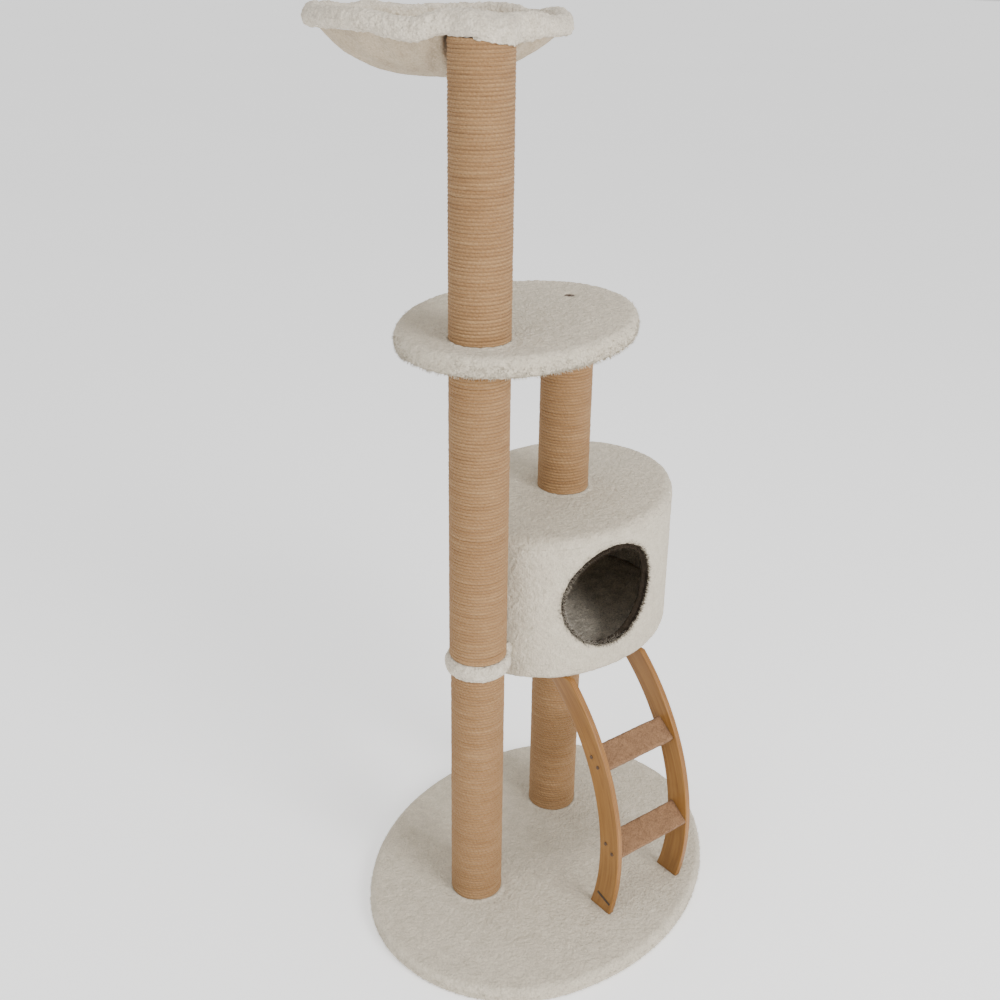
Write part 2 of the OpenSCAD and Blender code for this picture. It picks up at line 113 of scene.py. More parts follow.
def worley(p, size, seed=0, jitter=0.9):
    """Distance to the nearest of one random point in each cell, in cells."""
    q = np.asarray(p, float) / size + 1000.37
    i = np.floor(q).astype(np.int64)
    best = np.full(q.shape[:-1], 9.0)
    for dx in (-1, 0, 1):
        for dy in (-1, 0, 1):
            for dz in (-1, 0, 1):
                c = i + np.array([dx, dy, dz])
                d = 0.0
                for k in range(3):
                    o = c[..., k] + 0.5 + 0.5 * jitter * _hash(c[..., 0], c[..., 1], c[..., 2], seed + 7 * k + 1)
                    d = d + (o - q[..., k]) ** 2
                best = np.minimum(best, d)
    return np.sqrt(best)


def mesh_object(name, verts, quads=None, tris=None, uv=None):
    me = bpy.data.meshes.new(name)
    quads = np.zeros((0, 4), int) if quads is None else np.asarray(quads, int)
    tris = np.zeros((0, 3), int) if tris is None else np.asarray(tris, int)
    loops = np.concatenate([quads.ravel(), tris.ravel()]).astype(np.int32)
    starts = np.concatenate([np.arange(len(quads)) * 4, len(quads) * 4 + np.arange(len(tris)) * 3])
    me.vertices.add(len(verts))
    me.vertices.foreach_set("co", np.asarray(verts, np.float32).ravel())
    me.loops.add(len(loops))
    me.loops.foreach_set("vertex_index", loops)
    me.polygons.add(len(starts))
    me.polygons.foreach_set("loop_start", starts.astype(np.int32))
    if uv is not None:
        layer = me.uv_layers.new(name="UVMap")
        layer.data.foreach_set("uv", np.asarray(uv, np.float32)[loops].ravel())
    me.update(calc_edges=True)
    me.validate()
    me.polygons.foreach_set("use_smooth", np.full(len(me.polygons), True))
    ob = bpy.data.objects.new(name, me)
    bpy.context.scene.collection.objects.link(ob)
    return ob


def coords(ob):
    c = np.empty(len(ob.data.vertices) * 3, np.float32)
    ob.data.vertices.foreach_get("co", c)
    return c.reshape(-1, 3).astype(float)


def normals(ob):
    c = np.empty(len(ob.data.vertices) * 3, np.float32)
    ob.data.vertex_normals.foreach_get("vector", c)
    return c.reshape(-1, 3).astype(float)


def set_coords(ob, c):
    ob.data.vertices.foreach_set("co", np.asarray(c, np.float32).ravel())
    ob.data.update()


def outward(ob):
    """Turns the faces of a closed mesh outwards, if its signed volume says that they point in."""
    me = ob.data
    me.calc_loop_triangles()
    n = len(me.loop_triangles)
    t = np.empty(n * 3, np.int32)
    me.loop_triangles.foreach_get("vertices", t)
    c = coords(ob)[t.reshape(-1, 3)]
    c = c - c.reshape(-1, 3).mean(0)
    if np.einsum("ij,ij->i", c[:, 0], np.cross(c[:, 1], c[:, 2])).sum() < 0:
        me.flip_normals()
    return ob


def grid_faces(m, n, wrap_u=False, wrap_v=True):
    i = np.arange(m if wrap_u else m - 1)
    j = np.arange(n if wrap_v else n - 1)
    I, J = np.meshgrid(i, j, indexing="ij")
    a = I * n + J
    b = I * n + (J + 1) % n
    c = ((I + 1) % m) * n + (J + 1) % n
    d = ((I + 1) % m) * n + J
    return np.stack([a, b, c, d], -1).reshape(-1, 4)


def capped_grid(rows):
    """Closed surface from rings of points; the first and the last ring are closed with a fan."""
    m, n = rows.shape[:2]
    v = rows.reshape(-1, 3)
    quads = grid_faces(m, n)
    v = np.concatenate([v, rows[:1].mean(1), rows[-1:].mean(1)])
    j = np.arange(n)
    top = np.stack([np.full(n, m * n), (j + 1) % n, j], 1)
    low = np.stack([np.full(n, m * n + 1), (m - 1) * n + j, (m - 1) * n + (j + 1) % n], 1)
    return v, quads, np.concatenate([top, low])


# ---------------------------------------------------------------- ovals, as in the CAD
class Oval:
    def __init__(self, lo, hi):
        self.c = (lo[:2] + hi[:2]) / 2
        a, b = (hi[:2] - lo[:2]) / 2
        self.r1 = 1.094 * b * b / a
        self.r2 = (a * a + b * b - 2 * a * self.r1) / (2 * (b - self.r1))
        self.cx, self.cy = a - self.r1, self.r2 - b
        self.t = math.atan2(self.cy, self.cx)
        self.length = 4 * (self.r1 * self.t + self.r2 * (math.pi / 2 - self.t))

    def angles(self, n):
        th = np.linspace(0, TAU, 4001)
        end = (th < self.t) | (th > TAU - self.t) | (abs(th - math.pi) < self.t)
        r = np.where(end, self.r1, self.r2)
        s = np.concatenate([[0], np.cumsum((r[1:] + r[:-1]) / 2 * np.diff(th))])
        return np.interp(np.arange(n) * s[-1] / n, s, th)

    def at(self, th, grow):
        th = np.mod(th, TAU)
        right = (th < self.t) | (th > TAU - self.t)
        left = abs(th - math.pi) < self.t
        up = ~right & ~left & (th < math.pi)
        down = ~right & ~left & ~up
        x0 = np.where(right, self.cx, np.where(left, -self.cx, 0.0))
        y0 = np.where(up, -self.cy, np.where(down, self.cy, 0.0))
        r = np.where(right | left, self.r1, self.r2) + grow
        return np.stack([self.c[0] + x0 + r * np.cos(th), self.c[1] + y0 + r * np.sin(th)], -1)

    def rows(self, th, profile):
        """Rings from a profile of (grow, z, scale about the centre)."""
        out = []
        for g, z, s in profile:
            p = self.at(th, g)
            p = self.c + (p - self.c) * s
            out.append(np.column_stack([p, np.full(len(th), z)]))
        return np.array(out)


BASE = Oval(BASE_LO, BASE_HI)
PLAT = Oval(PLAT_LO, PLAT_HI)
CONDO = Oval(WALL_LO, WALL_HI)


def disc_profile(g, z, step, half, inwards):
    """Rings from the centre to the ring at grow g, or back."""
    n = max(3, int(half / step))
    s = np.linspace(0.012, 1, n)
    pts = [(g, z, float(k)) for k in s]
    return pts[::-1] if inwards else pts


def round_edge(g, z, r, a0, a1, n):
    """Arc of a rounded edge: its outermost point is at grow g, its centre at height z."""
    return [(g - r + r * math.cos(a), z + r * math.sin(a), 1.0)
            for a in np.linspace(math.radians(a0), math.radians(a1), n)]


# ---------------------------------------------------------------- materials
class Mat:
    def __init__(self, name, color, rough, spec=0.25, metal=0.0, sheen=0.0, sheen_rough=0.5):
        self.m = bpy.data.materials.new(name)
        self.m.use_nodes = True
        self.nt = self.m.node_tree
        self.b = self.nt.nodes["Principled BSDF"]
        self.b.inputs["Base Color"].default_value = (*color, 1)
        self.b.inputs["Roughness"].default_value = rough
        self.b.inputs["Metallic"].default_value = metal
        self.b.inputs["Specular IOR Level"].default_value = spec
        self.b.inputs["Sheen Weight"].default_value = sheen
        self.b.inputs["Sheen Roughness"].default_value = sheen_rough
        self.m.diffuse_color = (*color, 1)
        self.coord = None

    def node(self, kind, **inputs):
        n = self.nt.nodes.new("ShaderNode" + kind)
        for k, v in inputs.items():
            k = k.replace("_", " ")
            if hasattr(v, "is_linked"):
                self.nt.links.new(v, n.inputs[k])
            else:
                n.inputs[k].default_value = v
        return n

    def where(self, kind="Object"):
        if self.coord is None:
            self.coord = self.nt.nodes.new("ShaderNodeTexCoord")
        return self.coord.outputs[kind]

    def scaled(self, source, scale):
        n = self.nt.nodes.new("ShaderNodeMapping")
        self.nt.links.new(source, n.inputs["Vector"])
        n.inputs["Scale"].default_value = scale
        return n.outputs["Vector"]

    def noise(self, source, scale, detail=3, rough=0.55, distort=0.0):
        n = self.node("TexNoise", Vector=source, Scale=scale, Detail=detail, Roughness=rough, Distortion=distort)
        return n.outputs["Fac"]

    def voronoi(self, source, scale, feature="SMOOTH_F1"):
        n = self.nt.nodes.new("ShaderNodeTexVoronoi")
        n.feature = feature
        self.nt.links.new(source, n.inputs["Vector"])
        n.inputs["Scale"].default_value = scale
        return n.outputs["Distance"]

    def math(self, op, a, b=0.5, c=0.5):
        n = self.nt.nodes.new("ShaderNodeMath")
        n.operation = op
        for k, v in enumerate((a, b, c)):
            if hasattr(v, "is_linked"):
                self.nt.links.new(v, n.inputs[k])
            else:
                n.inputs[k].default_value = v
        return n.outputs[0]

    def ramp(self, fac, stops):
        n = self.nt.nodes.new("ShaderNodeValToRGB")
        self.nt.links.new(fac, n.inputs["Fac"])
        e = n.color_ramp.elements
        while len(e) < len(stops):
            e.new(0.5)
        for k, (pos, col) in enumerate(stops):
            e[k].position = pos
            e[k].color = (*col, 1)
        return n.outputs["Color"]

    def mix(self, kind, fac, a, b):
        n = self.nt.nodes.new("ShaderNodeMix")
        n.data_type = "RGBA"
        n.blend_type = kind
        for k, v in (("Factor", fac), ("A", a), ("B", b)):
            want = "VALUE" if k == "Factor" else "RGBA"
            sock = [s for s in n.inputs if s.name == k and s.type == want][0]
            if hasattr(v, "is_linked"):
                self.nt.links.new(v, sock)
            else:
                sock.default_value = v if k == "Factor" else (*v, 1)
        return [s for s in n.outputs if s.type == "RGBA"][0]

    def base(self, color):
        self.nt.links.new(color, self.b.inputs["Base Color"])

    def rough(self, fac, low, high):
        n = self.nt.nodes.new("ShaderNodeMapRange")
        self.nt.links.new(fac, n.inputs["Value"])
        n.inputs["To Min"].default_value = low
        n.inputs["To Max"].default_value = high
        self.nt.links.new(n.outputs["Result"], self.b.inputs["Roughness"])

    def bump(self, heights, distance, strength=1.0):
        last = None
        for h, d in zip(heights, distance):
            n = self.nt.nodes.new("ShaderNodeBump")
            self.nt.links.new(h, n.inputs["Height"])
            n.inputs["Distance"].default_value = d
            n.inputs["Strength"].default_value = strength
            if last is not None:
                self.nt.links.new(last, n.inputs["Normal"])
            last = n.outputs["Normal"]
        self.nt.links.new(last, self.b.inputs["Normal"])


def plush(name, light, dark, pile, mottle, depth, curl=0.0, sheen=0.12):
    """Cut pile: pile and mottle are scales per metre, depth the bump in metres, curl the scale of curls."""
    m = Mat(name, light, 0.95, spec=0.08, sheen=sheen, sheen_rough=0.6)
    o = m.where()
    broad = m.noise(o, mottle, 3, 0.6)
    fine = m.noise(o, pile, 3, 0.65)
    tuft = m.voronoi(o, pile * 0.45)
    fac = m.math("ADD", m.math("MULTIPLY", broad, 0.35), m.math("MULTIPLY", fine, 0.65))
    col = m.ramp(fac, [(0.36, dark), (0.62, light)])
    # painted shade: the colour darkens towards the tuft edges, where the bump sinks between tufts
    m.base(m.mix("MULTIPLY", 0.25, col, m.ramp(tuft, [(0.0, (1, 1, 1)), (0.9, (0.72, 0.70, 0.67))])))
    heights, dist = [fine, tuft], [depth, -depth * 0.7]
    if curl:
        heights.append(m.voronoi(m.scaled(o, (1, 1, 1)), curl))
        dist.append(-0.002)
    m.bump(heights, dist)
    return m


def rope_mat():
    m = Mat("sisal_rope_mat", (0.50, 0.34, 0.20), 0.9, spec=0.12, sheen=0.1)
    uv = m.nt.nodes.new("ShaderNodeUVMap")
    sep = m.node("SeparateXYZ", Vector=uv.outputs["UV"])
    u, v = sep.outputs["X"], sep.outputs["Y"]
    strand = m.math("SINE", m.math("ADD", m.math("MULTIPLY", u, TAU / 0.0065), m.math("MULTIPLY", v, 2 * TAU)))
    o = m.where()
    along = m.noise(m.scaled(uv.outputs["UV"], (9, 0.5, 1)), 1.0, 4, 0.6)
    fibre = m.noise(m.scaled(uv.outputs["UV"], (420, 14, 1)), 3, 4, 0.65)
    speck = m.noise(o, 420, 2, 0.7)
    fac = m.math("ADD", m.math("MULTIPLY", along, 0.35), m.math("MULTIPLY", fibre, 0.35))
    fac = m.math("ADD", fac, m.math("MULTIPLY", speck, 0.30))
    col = m.ramp(fac, [(0.34, (0.21, 0.104, 0.041)), (0.50, (0.335, 0.19, 0.084)), (0.66, (0.475, 0.305, 0.152))])
    shade = m.ramp(m.math("MULTIPLY_ADD", strand, 0.5, 0.5), [(0.0, (0.72, 0.68, 0.64)), (0.6, (1, 1, 1))])
    m.base(m.mix("MULTIPLY", 0.35, col, shade))
    m.bump([strand, fibre], [0.00025, 0.0006])
    return m


def rail_mat():
    m = Mat("rail_ply_mat", (0.50, 0.27, 0.09), 0.42, spec=0.4)
    uv = m.nt.nodes.new("ShaderNodeUVMap")
    grain = m.noise(m.scaled(uv.outputs["UV"], (7, 210, 1)), 1.0, 6, 0.62, 0.6)
    figure = m.noise(m.scaled(uv.outputs["UV"], (9, 38, 1)), 1.0, 3, 0.5, 1.2)
    fac = m.math("ADD", m.math("MULTIPLY", grain, 0.6), m.math("MULTIPLY", figure, 0.4))
    col = m.ramp(fac, [(0.34, (0.185, 0.082, 0.018)), (0.50, (0.265, 0.125, 0.031)), (0.66, (0.33, 0.165, 0.046))])
    at = m.nt.nodes.new("ShaderNodeAttribute")
    at.attribute_name = "ply"
    layer = m.math("SINE", m.math("MULTIPLY", at.outputs["Fac"], TAU * 4))
    edge = m.nt.nodes.new("ShaderNodeAttribute")
    edge.attribute_name = "edge"
    plies = m.ramp(m.math("MULTIPLY_ADD", layer, 0.5, 0.5), [(0.35, (0.62, 0.50, 0.40)), (0.65, (1.12, 1.08, 1.0))])
    m.base(m.mix("MULTIPLY", m.math("MULTIPLY", edge.outputs["Fac"], 0.85), col, plies))
    m.rough(grain, 0.34, 0.52)
    m.bump([grain], [0.0002])
    return m


def wood_mat(name, light, dark, flecks=True):
    m = Mat(name, light, 0.8, spec=0.2)
    o = m.where()
    chips = m.voronoi(m.scaled(o, (1, 1, 3)), 420, "F1") if flecks else m.noise(m.scaled(o, (10, 90, 90)), 3, 4)
    broad = m.noise(o, 60, 3)
    fac = m.math("ADD", m.math("MULTIPLY", chips, 0.6), m.math("MULTIPLY", broad, 0.4))
    m.base(m.ramp(fac, [(0.25, dark), (0.65, light)]))
    m.bump([chips], [0.0003])
    return m


def card_mat():
    m = Mat("cardboard_mat", (0.36, 0.26, 0.17), 0.9, spec=0.15)
    o = m.where()
    fib = m.noise(m.scaled(o, (300, 300, 60)), 3, 4)
    m.base(m.ramp(fib, [(0.35, (0.27, 0.19, 0.12)), (0.65, (0.42, 0.31, 0.21))]))
    m.bump([fib], [0.0002])
    return m


def metal_mat(name, color, rough, metal=1.0):
    m = Mat(name, color, rough, spec=0.5, metal=metal)
    o = m.where()
    n = m.noise(o, 260, 4)
    dark = tuple(c * 0.82 for c in color)
    m.base(m.ramp(n, [(0.35, dark), (0.65, color)]))
    m.rough(n, rough - 0.08, rough + 0.1)
    m.bump([n], [0.00005])
    return m


M = {
    "sisal_rope": rope_mat(),
    "cardboard_tube": card_mat(),
    "plug_wood": wood_mat("plug_wood_mat", (0.52, 0.38, 0.22), (0.38, 0.26, 0.14), False),
    "cream_plush": plush("cream_plush_mat", (0.73, 0.65, 0.515), (0.52, 0.46, 0.355), 380, 60, 0.0030),
    "hammock_plush": plush("hammock_plush_mat", (0.55, 0.45, 0.32), (0.355, 0.278, 0.186), 330, 30, 0.0016),
    "cream_sherpa": plush("cream_sherpa_mat", (0.75, 0.675, 0.55), (0.48, 0.42, 0.33), 360, 70, 0.0022, 240),
    "grey_lining": plush("grey_lining_mat", (0.68, 0.61, 0.50), (0.27, 0.235, 0.185), 380, 50, 0.0030),
    "particle_board": wood_mat("particle_board_mat", (0.54, 0.41, 0.26), (0.34, 0.24, 0.14)),
    "bent_ply": wood_mat("bent_ply_mat", (0.55, 0.42, 0.27), (0.42, 0.30, 0.18), False),
    "rail_ply": rail_mat(),
    # painted shade: the binding round the entrance is given a near-black colour that stands in for the shade inside
    # the entrance
    "entry_binding": plush("entry_binding_painted_shade_mat", (0.095, 0.072, 0.052), (0.036, 0.027, 0.019), 400, 60, 0.0016,
                           sheen=0.0),
    "tread_carpet": plush("tread_carpet_mat", (0.29, 0.162, 0.084), (0.15, 0.08, 0.042), 420, 90, 0.0014,
                          sheen=0.06),
    "painted_steel": metal_mat("painted_steel_mat", (0.66, 0.65, 0.63), 0.4, 0.0),
    "zinc_steel": metal_mat("zinc_steel_mat", (0.55, 0.56, 0.58), 0.36, 1.0),
}
M["dark_steel"] = metal_mat("dark_steel_mat", (0.13, 0.085, 0.055), 0.5, 0.4)
strip = Mat("strip_plastic_mat", (0.035, 0.028, 0.022), 0.45, spec=0.4)
so = strip.where()
sn = strip.noise(so, 500, 3)
strip.base(strip.ramp(sn, [(0.4, (0.028, 0.022, 0.017)), (0.6, (0.05, 0.04, 0.032))]))
strip.bump([sn], [0.00005])
M["strip_plastic"] = strip

SLOT_OF = {s["node"]: s.get("material_slot") for s in frame["record"]["subparts"]}
for name, ob in frame["nodes"].items():
    ob.data.materials.clear()
    ob.data.materials.append(M[SLOT_OF[name]].m)


def finish_piece(ob, slot, *nodes):
    ob.data.materials.clear()
    ob.data.materials.append(M[slot].m)
    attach(ob, "root")
    if nodes:
        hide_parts(*nodes)
    return ob


# ---------------------------------------------------------------- rope
def rope(name, node, seed):
    lo, hi = lohi(node)
    cx, cy = (lo[:2] + hi[:2]) / 2
    z0, z1 = lo[2], hi[2]
    r = 2.8 * MM
    pitch = 5.25 * MM
    big = (hi - lo)[0] / 2 - r
    turns = (z1 - z0 - 2 * r) / pitch + 2
    n_turn, n_sec = 60, 8
    n = int(turns * n_turn)
    phi = np.arange(n + 1) / n_turn * TAU
    a = np.arange(n_sec) / n_sec * TAU
    turn = phi / TAU
    jit = noise3(np.stack([phi * 0.6, turn * 0.9 + seed, phi * 0], 1), 1.0, seed)
    jit2 = noise3(np.stack([phi * 0.8, turn * 0.9, phi * 0 + seed], 1), 1.0, seed + 5)
    zc = np.clip(z0 + r + pitch * (turn - 1) + jit * 0.45 * MM, z0 + r, z1 - r)
    rc = big + jit2 * 0.35 * MM
    sec_r = r * (1 + 0.07 * noise3(np.stack([phi * 2.3, phi * 0, phi * 0], 1), 1.0, seed + 9))
    cr = rc[:, None] + sec_r[:, None] * np.cos(a)[None]
    v = np.stack([cx + cr * np.cos(phi)[:, None], cy + cr * np.sin(phi)[:, None],
                  zc[:, None] + 1.14 * sec_r[:, None] * np.sin(a)[None]], -1)
    uv = np.stack([np.repeat((phi * big)[:, None], n_sec, 1), np.repeat((a / TAU)[None], n + 1, 0)], -1)
    verts, quads, tris = capped_grid(v)
    uv = np.concatenate([uv.reshape(-1, 2), [[0, 0], [phi[-1] * big, 0]]])
    ob = outward(mesh_object(name, verts, quads, tris, uv))
    return finish_piece(ob, "sisal_rope", node)


for k, part in enumerate(("front_lower", "front_middle", "front_upper", "rear_lower", "rear_upper")):
    rope(part + "_rope_turns", part + "_rope", 3 + k)


# ---------------------------------------------------------------- plush covers
def pile(ob, amp=0.0010, size=0.0065, seed=1, keep=None, curl=0.6):
    """Woolly pile: soft clumps, broken up by smaller noise."""
    c, nrm = coords(ob), normals(ob)
    tuft = 0.55 - worley(c + 0.35 * size * np.stack([noise3(c, size, seed + k) for k in (21, 22, 23)], -1), size, seed)
    d = amp * (2.0 * curl * tuft + (1 - curl) * fbm(c, size, 2, seed + 3) + 0.35 * noise3(c, 0.03, seed + 9))
    if keep is not None:
        d = d * keep(c)
    set_coords(ob, c + nrm * d[:, None])


def post_dips(c, top, posts, sign=1.0):
    """Plush pressed down by a post, with a soft lip round its foot."""
    dz = np.zeros(len(c))
    for p, r in posts:
        d = np.hypot(c[:, 0] - p[0], c[:, 1] - p[1])
        inside = 1 / (1 + np.exp((d - (r - 3.0 * MM)) / (0.8 * MM)))
        lip = np.exp(-((d - r - 1.5 * MM) / (3.5 * MM)) ** 2)
        dz += sign * (1.8 * MM * lip - 1.2 * MM * inside) * (abs(c[:, 2] - top) < 5 * MM)
    return dz


def cover(name, node, oval, profile, step, slot, posts_top=(), posts_low=(), top=None, low=None, seed=1,
          amp=0.0010, size=0.0065):
    """Plush round an oval board, dented where posts stand on its top or under its underside."""
    th = oval.angles(int(oval.length / step))
    rows = oval.rows(th, profile)
    v, q, t = capped_grid(rows)
    ob = outward(mesh_object(name, v, q, t))
    pile(ob, amp, size, seed)
    c = coords(ob)
    if posts_top:
        c[:, 2] += post_dips(c, top, posts_top)
    if posts_low:
        c[:, 2] += post_dips(c, low, posts_low, -1.0)
    set_coords(ob, c)
    return finish_piece(ob, slot, node)


base_step = 2.8 * MM
base_edge = 11 * MM
inside = -6.1 * MM
profile = disc_profile(-base_edge, BASE_TOP, base_step, 0.30, False)
profile += round_edge(0, BASE_TOP - base_edge, base_edge, 84, 0, 8)
profile += [(0.4 * MM, 0.011, 1), (0.2 * MM, 0.007, 1), (-0.6 * MM, 0.004, 1)]
profile += [(-2.2 * MM, 0.0022, 1), (-4.5 * MM, 0.0018, 1)]
profile += [(inside, 0.0022, 1), (inside, 0.010, 1), (inside, 0.0203, 1)]
profile += [(inside, 0.0203, s) for s in (0.8, 0.5, 0.2, 0.02)]
cover("base_plush", "base_cover", BASE, profile, base_step, "cream_plush",
      posts_top=[(FRONT, SLIM_R), (REAR, SLIM_R)], top=BASE_TOP, seed=1, amp=0.0008, size=0.0058)

plat_step = 2.3 * MM
r = 13 * MM
profile = disc_profile(-r, PLAT_HI[2], plat_step, 0.20, False)
profile += round_edge(0, PLAT_HI[2] - r, r, 84, 0, 7)
profile += round_edge(0, PLAT_LO[2] + r, r, 0, -84, 7)
profile += disc_profile(-r, PLAT_LO[2], plat_step * 1.6, 0.20, True)
plat = cover("platform_plush", "platform_cover", PLAT, profile, plat_step, "cream_plush",
             posts_top=[(FRONT, POST_R)], posts_low=[(FRONT, POST_R), (REAR, SLIM_R)],
             top=PLAT_HI[2], low=PLAT_LO[2], seed=2, amp=0.0013, size=0.0062)
# the bolt above the rear post sits in a dimple
c = coords(plat)
d = np.hypot(c[:, 0] - REAR[0], c[:, 1] - REAR[1])
top = c[:, 2] > PLAT_HI[2] - 4 * MM
c[:, 2] -= np.where(top, 6.0 * MM * np.exp(-(d / (9 * MM)) ** 2), 0)
set_coords(plat, c)


# ---------------------------------------------------------------- condo
T_LO, T_HI = lohi("condo_entry_trim")
HOLE_X, HOLE_Z = -48 * MM, (T_LO[2] + T_HI[2]) / 2
HOLE_R = (T_HI[2] - T_LO[2]) / 2 - 3 * MM


def entrance_xy(p):
    d = p[..., :2] - REAR
    return d @ E_T, d @ E_Y


def wall_point(x, grow):
    """Point on the condo's outline, on the entrance side, at sideways distance x."""
    th = np.linspace(math.pi + TURN + 0.02, TAU + TURN - 0.02, 3000)
    p = CONDO.at(th, grow)
    ex = (p - REAR) @ E_T
    order = np.argsort(ex)
    t = np.interp(x, ex[order], th[order])
    return CONDO.at(t, grow)


def woolly_rows(rows, amp, size, seed):
    """Rings moved along their own normals by a pile, before they are shared out to two pieces."""
    m, n = rows.shape[:2]
    tmp = mesh_object("tmp", rows.reshape(-1, 3), grid_faces(m, n))
    if normals(tmp)[0, 2] < 0:
        tmp.data.flip_normals()
    pile(tmp, amp, size, seed)
    c = coords(tmp).reshape(m, n, 3)
    bpy.data.objects.remove(tmp)
    return c


def holed(rows_out, rows_in, grow_out, grow_in, radius):
    """Closed thick skin from two matching grids of rings, with the entrance cut through.
    Its top edge has corners of its own, so that it shades on smoothly from the piece above."""
    m, n = rows_out.shape[:2]
    quads = grid_faces(m, n)
    v = rows_out.reshape(-1, 3).copy()
    w = rows_in.reshape(-1, 3).copy()
    ex, ey = entrance_xy(v)
    rr = np.hypot(ex - HOLE_X, v[:, 2] - HOLE_Z)
    rr = np.where(ey < 0, rr, 9.0)
    keep = rr[quads].mean(1) > radius
    cut = np.zeros(len(v), bool)
    cut[quads[~keep].ravel()] = True
    used = np.zeros(len(v), bool)
    used[quads[keep].ravel()] = True
    rim = cut & used
    k = radius / rr[rim]
    x = HOLE_X + (ex[rim] - HOLE_X) * k
    z = HOLE_Z + (v[rim, 2] - HOLE_Z) * k
    for arr, g in ((v, grow_out), (w, grow_in)):
        arr[rim, :2] = wall_point(x, g)
        arr[rim, 2] = z
    quads = quads[keep]
    e = np.concatenate([quads[:, [0, 1]], quads[:, [1, 2]], quads[:, [2, 3]], quads[:, [3, 0]]])
    key = np.sort(e, 1)
    _, first, count = np.unique(key[:, 0] * len(v) + key[:, 1], return_index=True, return_counts=True)
    edge = e[first[count == 1]]
    top = (edge < n).all(1)
    side = np.stack([edge[:, 1], edge[:, 0], edge[:, 0] + len(v), edge[:, 1] + len(v)], 1)
    side[top] = np.where(side[top] < len(v), side[top] + 2 * len(v), side[top] + len(v) + n)
    verts = np.concatenate([v, w, v[:n], w[:n]])
    faces = np.concatenate([quads, quads[:, ::-1] + len(v), side])
    live = np.unique(faces)
    renum = np.full(len(verts), -1)
    renum[live] = np.arange(len(live))
    return verts[live], renum[faces]


wall_step = 2.6 * MM
COVER_IN, LINING_OUT, LINING_IN = -5.8 * MM, -11.2 * MM, -14.8 * MM
CUT_R = HOLE_R + 5 * MM
th = CONDO.angles(int(CONDO.length / wall_step))
z_low, z_roof = WALL_LO[2], ROOF_HI[2]
r = 17 * MM
foot_r = 6.5 * MM
skin = disc_profile(-r, z_roof, wall_step, 0.2, False) + round_edge(0, z_roof - r, r, 84, 0, 10)
seam = len(skin) - 1
skin += [(0.0, z, 1.0) for z in np.arange(z_roof - r - wall_step, z_low + 7 * MM, -wall_step)]
skin += round_edge(0, z_low + foot_r, foot_r, 0, -88, 6)
rows = woolly_rows(CONDO.rows(th, skin), 0.0010, 0.0062, 6)
rows[..., 2] += post_dips(rows.reshape(-1, 3), z_roof, [(REAR, SLIM_R)]).reshape(rows.shape[:2])
zs = [z for g, z, k in skin[seam:]]
inner = [(COVER_IN, max(z, z_low + 3.6 * MM - i * 0.01 * MM), 1.0) for i, z in enumerate(zs)]
v, q = holed(rows[seam:], CONDO.rows(th, inner), 0.0, COVER_IN, CUT_R)
wall = outward(mesh_object("condo_wall_plush", v, q))
finish_piece(wall, "cream_plush", "condo_wall_cover")

under = [(-5.6 * MM, z_roof - r, 1), (COVER_IN, z_roof - 6.2 * MM, 1)]
under += [(-6 * MM, z_roof - 5.9 * MM, s) for s in (0.8, 0.5, 0.2, 0.02)]
roof = np.concatenate([rows[:seam + 1], rows[seam:seam + 1], CONDO.rows(th, under)])
v, q, t = capped_grid(roof)
q = q[(q // len(th) != seam).any(1) | (q // len(th) == seam).all(1)]
roof = outward(mesh_object("condo_roof_plush", v, q, t))
finish_piece(roof, "cream_plush", "condo_roof_cover")

# underside
F_LO, F_HI = lohi("condo_floor_cover")
profile = disc_profile(-12 * MM, F_HI[2] - 0.2 * MM, 12 * MM, 0.15, False)
profile += [(-11.1 * MM, F_HI[2] - 0.6 * MM, 1), (-10.6 * MM, F_LO[2] + 1.5 * MM, 1)]
profile += [(-11.4 * MM, F_LO[2] + 0.2 * MM, 1)]
profile += disc_profile(-13 * MM, F_LO[2], 5 * MM, 0.15, True)
cover("condo_underside_plush", "condo_floor_cover", CONDO, profile, 4.5 * MM, "cream_plush",
      posts_low=[(REAR, SLIM_R)], low=F_LO[2], seed=7)

# lining: wall, floor and ceiling
L_LO, L_HI = lohi("condo_wall_lining")
zs = np.arange(L_HI[2], L_LO[2], -3.4 * MM)
th2 = CONDO.angles(int(CONDO.length / (3.6 * MM)))
lining = [CONDO.rows(th2, [(g, z, 1.0) for z in zs]) for g in (LINING_OUT, LINING_IN)]
v, q = holed(*lining, LINING_OUT, LINING_IN, CUT_R)
lin = outward(mesh_object("condo_wall_lining_plush", v, q))
pile(lin, 0.0008, 0.007, 8)
finish_piece(lin, "grey_lining", "condo_wall_lining")
for nm, node, seed in (("condo_floor_lining_plush", "condo_floor_lining", 9),
                       ("condo_ceiling_lining_plush", "condo_roof_lining", 10)):
    a, b = lohi(node)
    profile = disc_profile(-15.2 * MM, b[2] - 0.3 * MM, 4 * MM, 0.15, False)
    profile += [(-15 * MM, b[2] - 1 * MM, 1), (-15 * MM, a[2] + 0.3 * MM, 1)]
    profile += disc_profile(-15.2 * MM, a[2] + 0.2 * MM, 9 * MM, 0.15, True)
    cover(nm, node, CONDO, profile, 4 * MM, "grey_lining", seed=seed)


# rolled lip round the entrance
def lip(name, section, seed, amp, size, slot, *nodes):
    n = 330
    psi = np.arange(n) / n * TAU
    rows = []
    for rad, g in section:
        x = HOLE_X + rad * np.cos(psi)
        z = HOLE_Z + rad * np.sin(psi)
        rows.append(np.column_stack([wall_point(x, g), z]))
    rows = np.array(rows)
    ob = mesh_object(name, rows.reshape(-1, 3), grid_faces(len(rows), n, wrap_u=True))
    outward(ob)
    pile(ob, amp, size, seed)
    return finish_piece(ob, slot, *nodes)


def from_hole(*points):
    """Lip section given in mm: outwards from the hole's edge, and outwards from the wall's face."""
    return [(HOLE_R + a * MM, g * MM) for a, g in points]


